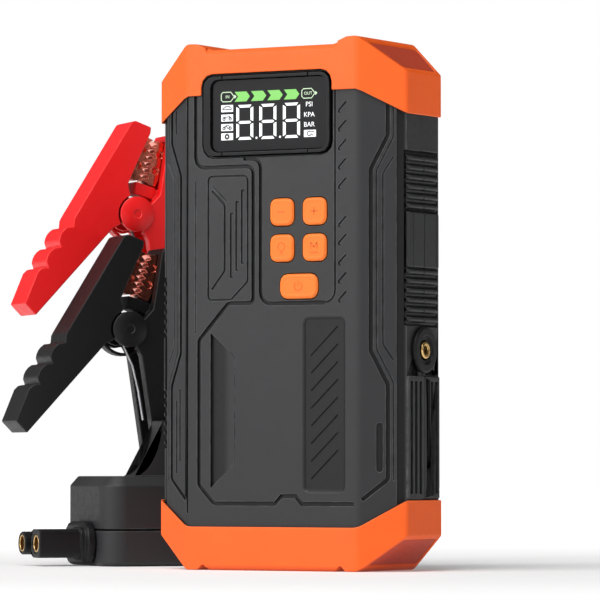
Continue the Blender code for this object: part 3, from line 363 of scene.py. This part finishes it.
def metal(name, colour, roughness, stretch=(1.0, 1.0, 1.0), grain=0.5, depth=0.004, darkest=0.35,
          tarnish=0.75):
    """Metal with fine drawn lines, tarnish in patches and painted shade in recesses."""
    shader = Shader(name, roughness, 1.0)
    patch = shader.span(shader.noise(4.0, 4.0, 0.6), 0.4, 0.7, 0.0, 1.0)
    base = shader.mix(patch, colour, scaled(colour, tarnish))
    # Painted shade: ambient occlusion darkens recesses.
    base = shader.mix(shader.hollow_shade(1.8, darkest), scaled(colour, 0.15), base)
    shader.colour(base)
    lines = shader.noise(grain, 3.0, 0.6, stretch)
    shader.rough(shader.span(lines, 0.3, 0.7, roughness * 0.75, roughness * 1.35))
    shader.bump(lines, depth)
    return shader.material


def glossy(name, colour, roughness, haze=0.02, coat=0.5, specular=0.5):
    """A smooth clear-coated plastic with faint smears."""
    shader = Shader(name, roughness)
    shader.bsdf.inputs["Coat Weight"].default_value = coat
    shader.bsdf.inputs["Specular IOR Level"].default_value = specular
    shader.bsdf.inputs["Coat Roughness"].default_value = 0.08
    cloud = shader.noise(14.0, 3.0, 0.6)
    shader.colour(shader.mix(cloud, scaled(colour, 0.9), scaled(colour, 1.1)))
    shader.rough(shader.span(shader.noise(7.0, 4.0, 0.7), 0.3, 0.7, roughness - haze, roughness + haze * 2))
    shader.bump(shader.noise(6.0, 2.0), 0.004)
    return shader.material


def lit(name, colour, strength):
    """A display segment: printed white or green that glows a little, with a fine dot grain."""
    shader = Shader(name, 0.5)
    dots = shader.span(shader.noise(0.35, 2.0), 0.3, 0.7, 0.0, 1.0)
    shade = shader.mix(dots, scaled(colour, 0.93), colour)
    shader.colour(shade)
    shader.tree.links.new(shade, shader.bsdf.inputs["Emission Color"])
    shader.bsdf.inputs["Emission Strength"].default_value = strength
    return shader.material


def lamp_plastic(name):
    """The ribbed clear lens of the lamp."""
    shader = Shader(name, 0.18)
    shader.bsdf.inputs["Coat Weight"].default_value = 0.6
    shader.colour(shader.mix(shader.noise(3.0, 3.0), (0.72, 0.74, 0.76), (0.9, 0.92, 0.94)))
    wave = shader.add("ShaderNodeTexWave", Vector=shader.spots, Scale=1.0 / (1.6 * MM) / 6.0)
    wave.bands_direction = "Y"
    shader.bump(wave.outputs["Fac"], 0.2)
    return shader.material


def case_groove_shade(shader):
    """Mask for painted shade: 0 at the bottom of a groove of the case, 1 on its surface."""
    return shader.span(shader.case_depth(), 0.35, 0.7, 1.0, 0.0)


def grip_valley_shade(shader):
    """Mask for painted shade: 0 between the ribs of a grip pad, 1 on them."""
    return shader.across_fade(58.7, 59.9)


CHARCOAL = (0.0225, 0.0228, 0.0245)
# The case's grooves and the grip's valleys between ribs get painted shade; their lighter edges are partly
# scuffing, partly painted highlight.
CASE_CHARCOAL = moulded("case_plastic", CHARCOAL, 0.5, worn_and_lit_edge=(0.15, 0.152, 0.158), wear_and_highlight=0.8,
                        sunk=case_groove_shade)
GRIP_RUBBER = moulded("grip_rubber", (0.021, 0.0215, 0.023), 0.5, grain=0.6, depth=0.012,
                      worn_and_lit_edge=(0.1, 0.103, 0.11), wear_and_highlight=0.8, sunk=grip_valley_shade)
MATERIALS = {
    "orange_shell": moulded("orange_plastic", (1.0, 0.122, 0.007), 0.5, depth=0.008,
                            worn_and_lit_edge=(1.0, 0.28, 0.08), darkest=0.55, wear_and_highlight=0.6),
    "charcoal_shell": moulded("charcoal_plastic", CHARCOAL, 0.52, worn_and_lit_edge=(0.13, 0.132, 0.137), wear_and_highlight=0.75),
    "black_trim": moulded("trim_plastic", (0.009, 0.009, 0.0102), 0.4, depth=0.006,
                          worn_and_lit_edge=(0.07, 0.072, 0.076), wear_and_highlight=0.6, specular=0.2),
    "rubber_pad": moulded("soft_rubber", (0.017, 0.0175, 0.019), 0.55, grain=0.6, depth=0.015,
                          worn_and_lit_edge=(0.075, 0.078, 0.084), wear_and_highlight=0.7),
    # The lighter key rims are mostly a painted highlight.
    "key_orange": moulded("key_silicone", (1.0, 0.19, 0.017), 0.52, depth=0.005,
                          worn_and_lit_edge=(1.0, 0.42, 0.12), darkest=0.5, wear_and_highlight=0.8),
    "display_glass": glossy("display_plastic", (0.013, 0.013, 0.0143), 0.3, coat=0.05, specular=0.15),
    "circuit_board": moulded("board_laminate", (0.015, 0.1, 0.04), 0.4, grain=1.2, depth=0.01),
    "cell_foil": moulded("cell_film", (0.3, 0.31, 0.33), 0.35, grain=3.0, depth=0.02),
    "steel": metal("steel_wire", (0.55, 0.55, 0.57), 0.3),
    "brass": metal("brass_metal", (0.9, 0.6, 0.24), 0.22, grain=0.3),
    # The copper is pushed towards red: partly its own colour, partly a painted reflection of the red clamp.
    "copper": metal("copper_plate", (0.95, 0.27, 0.18), 0.2, grain=0.8, depth=0.006, darkest=0.6,
                    tarnish=0.85),
    "aluminium": metal("cast_metal", (0.6, 0.61, 0.63), 0.4, grain=0.8, depth=0.02),
    "gear_nylon": moulded("gear_plastic", (0.75, 0.72, 0.62), 0.45),
    "lamp_clear": lamp_plastic("lamp_plastic"),
    "clamp_red": moulded("red_plastic", (0.93, 0.008, 0.01), 0.42, grain=0.5, depth=0.007,
                         worn_and_lit_edge=(1.0, 0.12, 0.11), darkest=0.4, wear_and_highlight=0.7),
    "clamp_black": moulded("black_plastic", (0.008, 0.008, 0.0084), 0.45, grain=0.5, depth=0.009,
                           worn_and_lit_edge=(0.06, 0.061, 0.064), wear_and_highlight=0.7, specular=0.28),
}
NODE_MATERIALS = {
    "front_shell": CASE_CHARCOAL,
    "rear_shell": CASE_CHARCOAL,
    "side_grip_right": GRIP_RUBBER,
    "side_grip_left": GRIP_RUBBER,
}
PRINT_WHITE = lit("print_white", (0.9, 0.91, 0.92), 0.35)
PRINT_GREEN = lit("print_green", (0.2, 0.55, 0.12), 0.2)
PRINT_PALE = lit("print_pale", (0.6, 0.78, 0.54), 0.15)
PRINT_DARK = glossy("print_dark", (0.03, 0.03, 0.033), 0.35)
# A darker copy of the orange: painted shade for the recessed corner panels.
SHADED_PANEL_ORANGE = moulded("panel_plastic_shaded", (0.52, 0.055, 0.02), 0.5, worn_and_lit_edge=(0.7, 0.12, 0.05), darkest=0.5)
KEY_PRINT = moulded("key_print", (0.78, 0.12, 0.01), 0.55, worn_and_lit_edge=(0.8, 0.14, 0.02))


# ---------------------------------------------------------------- carried-over CAD nodes

def smooth_group():
    """A node group that turns smooth shading on."""
    group = bpy.data.node_groups.new("smooth_faces", "GeometryNodeTree")
    group.interface.new_socket("Geometry", in_out="INPUT", socket_type="NodeSocketGeometry")
    group.interface.new_socket("Geometry", in_out="OUTPUT", socket_type="NodeSocketGeometry")
    start = group.nodes.new("NodeGroupInput")
    end = group.nodes.new("NodeGroupOutput")
    shade = group.nodes.new("GeometryNodeSetShadeSmooth")
    group.links.new(start.outputs[0], shade.inputs["Geometry"])
    group.links.new(shade.outputs[0], end.inputs[0])
    return group


SMOOTH = smooth_group()
EDGE_WIDTH = 0.5       # rounding of moulded edges, in millimetres
FINE_WIDTH = 0.22
FINE_SLOTS = ("steel", "brass", "copper", "aluminium", "gear_nylon", "display_glass", "circuit_board")
FINE_NODES = ("display_bezel", "outlet_boss", "front_shell")


def round_edges(item, width):
    """Merge the facets, round the edges and shade them smoothly."""
    weld = item.modifiers.new("weld", "WELD")
    weld.merge_threshold = 1e-6
    flat = item.modifiers.new("flat", "DECIMATE")
    flat.decimate_type = "DISSOLVE"
    flat.angle_limit = math.radians(0.5)
    bevel = item.modifiers.new("edges", "BEVEL")
    bevel.width = width * MM
    bevel.segments = 2
    bevel.limit_method = "ANGLE"
    bevel.angle_limit = math.radians(32)
    bevel.use_clamp_overlap = False
    shade = item.modifiers.new("smooth", "NODES")
    shade.node_group = SMOOTH
    item.modifiers.new("normals", "WEIGHTED_NORMAL")


def dress_nodes():
    """Give every CAD node its material and rounded edges."""
    for name, item in frame["nodes"].items():
        slot = item.material_slots[0].name
        item.material_slots[0].material = NODE_MATERIALS.get(name, MATERIALS[slot])
        fine = slot in FINE_SLOTS or name in FINE_NODES
        round_edges(item, FINE_WIDTH if fine else EDGE_WIDTH)


# ---------------------------------------------------------------- display graphics

GLASS_GAP = 0.3        # between the glass and the window of its bezel
GLASS_X = (LENS_LOW.x - GLASS_GAP, LENS_HIGH.x + GLASS_GAP)
GLASS_Z = (LENS_HIGH.z + GLASS_GAP, LENS_LOW.z - GLASS_GAP)
PRINT_LIFT = 0.03      # where a printed layer starts and ends, out from the glass
PRINT_TOP = 0.09
PRINT_STEP = 0.08      # how much further out the next layer lies
DIGIT_SIZE = (8.3, 14.8)
ARROW_PITCH = 8.05


def spot(u, v):
    """A place on the display from shares of its width and height."""
    return (GLASS_X[0] + u * (GLASS_X[1] - GLASS_X[0]), GLASS_Z[0] + v * (GLASS_Z[1] - GLASS_Z[0]))


def print_levels(layer=0):
    """How far out a printed layer lies, measured along -Y."""
    base = -LENS_FRONT
    return base + PRINT_LIFT + layer * PRINT_STEP, base + PRINT_TOP + layer * PRINT_STEP


def seven_segments(piece, left, top, width, height):
    """All seven bars of one digit."""
    thick, flat, gap = 1.35, 1.15, 0.4
    low, high = print_levels()
    middle = height / 2
    bars = [
        [(gap + 0.5, 0), (width - gap - 0.5, 0), (width - thick - gap, -flat), (thick + gap, -flat)],
        [(0, -gap - 0.4), (thick, -flat - gap), (thick, -middle + flat / 2 + gap), (0, -middle + gap)],
        [(thick * 0.75, -middle), (thick + gap, -middle + flat / 2), (width - thick - gap, -middle + flat / 2),
         (width - thick * 0.75, -middle), (width - thick - gap, -middle - flat / 2),
         (thick + gap, -middle - flat / 2)],
    ]
    bars.append([(width - x, z) for x, z in bars[1]])
    bars += [[(x, -height - z) for x, z in bar] for bar in (bars[0], bars[1], bars[3])]
    for bar in bars:
        piece.prism([(left + x, top + z) for x, z in bar], FRONT, low, high)


def make_digits():
    """Three digits and their two points."""
    piece = Piece()
    for u in (0.215, 0.414, 0.617):
        left, top = spot(u, 0.358)
        seven_segments(piece, left, top, *DIGIT_SIZE)
    for u in (0.389, 0.592):
        piece.turned([(0.5, level) for level in print_levels()], FRONT, spot(u, 0.815), 16)
    piece.build("display_digits", "unit", "display_glass", PRINT_WHITE)


def make_arrows():
    """The four charge arrows."""
    piece = Piece()
    start, top = spot(0.2, 0.175)
    low, high = print_levels()
    for step in range(4):
        x = start + step * ARROW_PITCH
        outline = [(x, top), (x + 5.8, top), (x + 7.5, top - 2.1), (x + 5.8, top - 4.2), (x, top - 4.2),
                   (x + 1.7, top - 2.1)]
        piece.prism(outline, FRONT, low, high)
    piece.build("display_arrows", "unit", "display_glass", PRINT_GREEN)


def make_tags():
    """The in and out tags, and the pressure units."""
    tags = Piece()
    low, high = print_levels()
    for u, words in ((0.08, "IN"), (0.775, "OUT")):
        x, z = spot(u, 0.24)
        outline = [(x + 6.6, z), (x + 4.9, z + 2.0), (x + 1.0, z + 2.0), (x + 0.2, z + 1.2),
                   (x + 0.2, z - 1.2), (x + 1.0, z - 2.0), (x + 4.9, z - 2.0), (x + 6.6, z)]
        tags.stroke(outline, 0.36, FRONT, low, high)
        tags.prism([(x + 6.1, z), (x + 6.9, z + 0.8), (x + 7.7, z), (x + 6.9, z - 0.8)], FRONT, low, high)
        tags.text(words, 1.9, x + 3.3, z, -high, 0.05)
    tags.build("display_tags", "unit", "display_glass", PRINT_PALE)
    units = Piece()
    for words, v in (("PSI", 0.39), ("KPA", 0.53), ("BAR", 0.665)):
        x, z = spot(0.842, v)
        units.text(words, 2.9, x, z, -high, 0.06)
    units.build("display_units", "unit", "display_glass", PRINT_WHITE)


def symbol_paths(kind, x, z):
    """Line drawings of a car, a motorcycle, a bicycle, a ball and a pump."""
    ring = [(x + a, z + b) for a, b in arc((0, 0), 0.62, 0, 360, 12)]
    if kind == "car":
        body = [(-2.2, -0.5), (-2.0, 0.2), (-1.1, 0.35), (-0.6, 0.95), (0.9, 0.95), (1.5, 0.3), (2.2, 0.1),
                (2.2, -0.5), (-2.2, -0.5)]
        return [[(x + a, z + b) for a, b in body]]
    if kind in ("motorcycle", "bicycle"):
        wheels = [[(a + side, b - 0.35) for a, b in ring] for side in (-1.5, 1.5)]
        bar = [(-1.5, -0.35), (-0.5, 0.8), (0.9, 0.75), (1.5, -0.35), (0.2, -0.3), (-0.5, 0.8)]
        if kind == "motorcycle":
            bar = [(-1.5, -0.35), (-0.9, 0.4), (0.5, 0.4), (1.0, 1.0), (1.6, -0.35)]
        return wheels + [[(x + a, z + b) for a, b in bar]]
    if kind == "ball":
        big = [(x + a, z + b) for a, b in arc((0, 0), 1.05, 0, 360, 16)]
        return [big, ring]
    coil = [(x + a, z + b) for a, b in arc((-0.3, 0), 0.95, 40, 330, 12)]
    return [coil, [(x + 0.6, z + 0.6), (x + 2.0, z + 0.6)], [(x + 0.6, z - 0.2), (x + 1.6, z - 0.9)]]


def make_symbols():
    """White tiles with a dark drawing on each."""
    tiles, drawings = Piece(), Piece()
    low, high = print_levels()
    over, upper = print_levels(1)
    places = [("car", 0.135, 0.398), ("motorcycle", 0.135, 0.528), ("bicycle", 0.135, 0.658),
              ("ball", 0.135, 0.785), ("pump", 0.848, 0.785)]
    for kind, u, v in places:
        x, z = spot(u, v)
        tiles.prism(rounded_box(x, z, 5.8, 2.95, 0.2), FRONT, low, high)
        for path in symbol_paths(kind, x, z):
            drawings.stroke(path, 0.42, FRONT, over, upper)
    tiles.build("display_tiles", "unit", "display_glass", PRINT_WHITE)
    drawings.build("display_symbols", "unit", "display_glass", PRINT_DARK)


# ---------------------------------------------------------------- keys

def key_marks():
    """The mark on each key, as strokes round the key's centre."""
    circle = arc((0, 0), 1.9, 125, 415, 16)
    bulb = arc((0, 0.6), 1.7, -50, 230, 14)
    return {
        "button_minus": [[(-1.7, 0), (1.7, 0)]],
        "button_plus": [[(-1.7, 0), (1.7, 0)], [(0, -1.7), (0, 1.7)]],
        "button_light": [bulb, [(-0.8, -1.2), (0.8, -1.2)], [(-0.6, -2.0), (0.6, -2.0)]],
        "button_mode": [[(-1.5, -0.8), (-1.5, 2.1)], [(-1.5, 2.0), (0.1, 0.0)], [(-0.1, 0.0), (1.5, 2.0)],
                        [(1.5, 2.1), (1.5, -0.8)], [(-2.0, -2.2), (2.0, -2.2)]],
        "button_power": [circle, [(0, 0.2), (0, 2.4)]],
    }


def make_keys():
    """A soft raised rim and a mark on each key."""
    for name, marks in key_marks().items():
        low, high = box_mm(name)
        front = -low.y
        x, z = (low.x + high.x) / 2, (low.z + high.z) / 2
        width, height = high.x - low.x - 2.0, high.z - low.z - 2.0
        corner = 3.5 if name == "button_power" else 3.0
        rim = Piece()
        rings = []
        for inset, level in ((0.5, -0.5), (0.62, 0.02), (1.0, 0.22), (1.45, 0.2), (1.9, -0.02), (2.0, -0.3)):
            outline = rounded_box(x, z, width - inset * 2, height - inset * 2, corner - inset * 0.75, 6)
            rings.append([FRONT(a, b, front + level) for a, b in outline])
        rim.skin(rings, loop=True)
        rim.build(name + "_rim", name + "_key", "key_orange", MATERIALS["key_orange"], smooth=True)
        piece = Piece()
        for path in marks:
            piece.stroke([(x + a, z + b) for a, b in path], 0.5, FRONT, front - 0.02, front + 0.05)
        piece.build(name + "_mark", name + "_key", "key_orange", KEY_PRINT)


# ---------------------------------------------------------------- side details

def make_outlet_thread():
    """Thread ridges inside the brass outlet."""
    piece = Piece()
    for step in range(5):
        level = OUTLET_HIGH.x - 0.7 - step * 0.8
        profile = [(2.34, level - 0.3), (1.95, level - 0.08), (1.95, level + 0.08), (2.34, level + 0.3)]
        piece.turned(profile, RIGHT, (OUTLET.y, OUTLET.z), 24, loop=True)
    piece.build("outlet_thread", "unit", "brass", MATERIALS["brass"], smooth=True)


def make_vent_fins():
    """Cross ribs behind the vent slots."""
    piece = Piece()
    for step in range(7):
        z = 34.5 + step * 7.2
        outline = [(-12.2, z - 0.5), (12.2, z - 0.5), (12.2, z + 0.5), (-12.2, z + 0.5)]
        piece.prism(outline, RIGHT, 56.9, 57.7)
    piece.build("vent_fins", "unit", "charcoal_shell", MATERIALS["charcoal_shell"])


# radius and level of a pivot cap, in a clamp's own axes
PIVOT_PROFILE = [(7.9, 10.9), (7.9, 11.5), (7.5, 11.85), (2.1, 12.05), (1.8, 11.7), (0.02, 11.66)]


def make_pivot_caps():
    """A dished cap over each end of the clamp pins."""
    for colour, slot in (("red", "clamp_red"), ("black", "clamp_black")):
        place = clamp_placer(colour)
        for side, end in ((1, "front"), (-1, "back")):
            piece = Piece()
            rings = []
            for radius, level in PIVOT_PROFILE:
                rings.append([place(a, b, side * level) for a, b in arc((0, 0), radius, 0, 360, 48)[:-1]])
            piece.skin(rings)
            name = "%s_pivot_cap_%s" % (colour, end)
            piece.build(name, colour + "_clamp", slot, MATERIALS[slot], smooth=True)


CAP_SLOPE = 15.0 / 18.9                     # drop over run of the caps' slanted ends
PANEL_PLAN = [(44.5, -21.2), (57.6, -13.9), (57.6, 13.9), (44.5, 21.2)]
PANEL_MIDDLE = 51.0


def make_corner_panels():
    """A thin panel in the pocket on each cut corner of the caps, a darker orange as painted shade of the
    recess.
    """
    for name, inward in (("top_cap", -1), ("bottom_cap", 1)):
        low, high = box_mm(name)
        end = high.z if inward < 0 else low.z
        for side, label in ((-1, "left"), (1, "right")):
            rings = []
            for grow, sunk in ((0.0, 1.0), (0.0, 0.55), (-0.3, 0.35)):
                ring = []
                for x, y in PANEL_PLAN:
                    near_x = x - math.copysign(grow, x - PANEL_MIDDLE)
                    near_y = y + math.copysign(grow, y)
                    level = end + inward * ((near_x - CASE_FLAT) * CAP_SLOPE + sunk)
                    ring.append(Vector((side * near_x, near_y, level)))
                rings.append(ring)
            panel = Piece().skin(rings)
            panel.build("%s_panel_%s" % (name, label), "unit", "orange_shell", SHADED_PANEL_ORANGE)


# ---------------------------------------------------------------- stage

AIM = Vector((0.0, 0.0, 0.11))              # what the lights point at, in metres
FLOOR_REACH = 6.0
BRIGHT_WAY = (-0.45, -0.6, 0.66)            # where the surround is brightest
SOFT_LIGHTS = [                             # name, azimuth, elevation and distance, size, power
    ("key", (-33.0, 24.0, 1.6), (0.5, 0.7), 8.5),
    ("side", (78.0, 20.0, 1.6), (0.3, 0.8), 2.0),
    ("strip", (-4.0, 8.0, 1.5), (0.1, 1.0), 1.0),
]
CAMERA_AZIMUTH = math.radians(30.0)
CAMERA_PITCH = math.radians(2.047)          # up from level
CAMERA_DISTANCE = 1.95
CAMERA_HEIGHT = 0.045


def make_floor():
    """A wide pale floor."""
    piece = bmesh.new()
    corners = [(-FLOOR_REACH, -FLOOR_REACH), (FLOOR_REACH, -FLOOR_REACH), (FLOOR_REACH, FLOOR_REACH),
               (-FLOOR_REACH, FLOOR_REACH)]
    piece.faces.new([piece.verts.new((x, y, 0.0)) for x, y in corners])
    data = bpy.data.meshes.new("floor")
    piece.to_mesh(data)
    piece.free()
    floor = bpy.data.objects.new("floor", data)
    bpy.context.scene.collection.objects.link(floor)
    shader = Shader("floor_paper", 0.6)
    shader.colour(shader.mix(shader.noise(60.0, 3.0), (0.83, 0.83, 0.83), (0.87, 0.87, 0.87)))
    far = shader.add("ShaderNodeVectorMath", Vector=shader.spots)
    far.operation = "LENGTH"
    shader.bsdf.inputs["Emission Color"].default_value = (1.0, 1.0, 1.0, 1.0)
    glow = shader.span(far.outputs["Value"], 0.2, 1.0, 0.17, 0.6)
    shader.tree.links.new(glow, shader.bsdf.inputs["Emission Strength"])
    data.materials.append(shader.material)


def add_light(name, spot_at, aim, size, power):
    """A soft square light."""
    data = bpy.data.lights.new(name, "AREA")
    data.shape = "RECTANGLE"
    data.size, data.size_y = size
    data.energy = power
    lamp = bpy.data.objects.new(name, data)
    lamp.location = spot_at
    lamp.rotation_euler = (Vector(aim) - Vector(spot_at)).to_track_quat("-Z", "Y").to_euler()
    bpy.context.scene.collection.objects.link(lamp)


def around(azimuth, elevation, distance):
    """A place round the object, from two angles in degrees."""
    turn, lift = math.radians(azimuth), math.radians(elevation)
    flat = distance * math.cos(lift)
    return AIM + Vector((flat * math.sin(turn), -flat * math.cos(turn), distance * math.sin(lift)))


def make_sun(azimuth, elevation, strength, angle):
    """A broad sun lamp."""
    data = bpy.data.lights.new("sun", "SUN")
    data.energy = strength
    data.angle = math.radians(angle)
    lamp = bpy.data.objects.new("sun", data)
    toward = AIM - around(azimuth, elevation, 2.0)
    lamp.rotation_euler = toward.to_track_quat("-Z", "Y").to_euler()
    bpy.context.scene.collection.objects.link(lamp)


def make_world():
    """A surround that is bright above the front left and dim elsewhere, and plain white to look at."""
    world = bpy.data.worlds.new("studio")
    bpy.context.scene.world = world
    world.use_nodes = True
    tree = world.node_tree
    around_us = tree.nodes.new("ShaderNodeTexCoord")
    bright_way = tree.nodes.new("ShaderNodeVectorMath")
    bright_way.operation = "DOT_PRODUCT"
    bright_way.inputs[1].default_value = BRIGHT_WAY
    fade = tree.nodes.new("ShaderNodeMapRange")
    fade.inputs["From Min"].default_value = 0.1
    fade.inputs["To Min"].default_value = 0.07
    fade.inputs["To Max"].default_value = 0.6
    background = tree.nodes["Background"]
    background.inputs["Color"].default_value = (1.0, 1.0, 1.0, 1.0)
    plain = tree.nodes.new("ShaderNodeBackground")
    plain.inputs["Color"].default_value = (1.0, 1.0, 1.0, 1.0)
    path = tree.nodes.new("ShaderNodeLightPath")
    mixer = tree.nodes.new("ShaderNodeMixShader")
    links = tree.links
    links.new(around_us.outputs["Generated"], bright_way.inputs[0])
    links.new(bright_way.outputs["Value"], fade.inputs["Value"])
    links.new(fade.outputs["Result"], background.inputs["Strength"])
    links.new(path.outputs["Is Camera Ray"], mixer.inputs[0])
    links.new(background.outputs[0], mixer.inputs[1])
    links.new(plain.outputs[0], mixer.inputs[2])
    links.new(mixer.outputs[0], tree.nodes["World Output"].inputs["Surface"])


def make_lights():
    """Soft studio light and a pale surround."""
    for name, place, size, power in SOFT_LIGHTS:
        add_light(name, around(*place), AIM, size, power)
    make_sun(5.0, 62.0, 1.7, 30.0)
    make_world()


def make_camera():
    """The camera, low down and round to the right of the front, turned up a little."""
    data = bpy.data.cameras.new("camera")
    data.lens = 275.0
    data.sensor_width = 36.0
    camera = bpy.data.objects.new("camera", data)
    across = CAMERA_DISTANCE * math.sin(CAMERA_AZIMUTH)
    back = CAMERA_DISTANCE * math.cos(CAMERA_AZIMUTH)
    camera.location = (across, -back, CAMERA_HEIGHT)
    camera.rotation_euler = (math.radians(90) + CAMERA_PITCH, 0.0, CAMERA_AZIMUTH)
    bpy.context.scene.collection.objects.link(camera)
    bpy.context.scene.camera = camera


dress_nodes()
make_digits()
make_arrows()
make_tags()
make_symbols()
make_keys()
make_outlet_thread()
make_vent_fins()
make_pivot_caps()
make_corner_panels()
make_floor()
make_lights()
make_camera()
bpy.context.scene.view_settings.view_transform = "Standard"
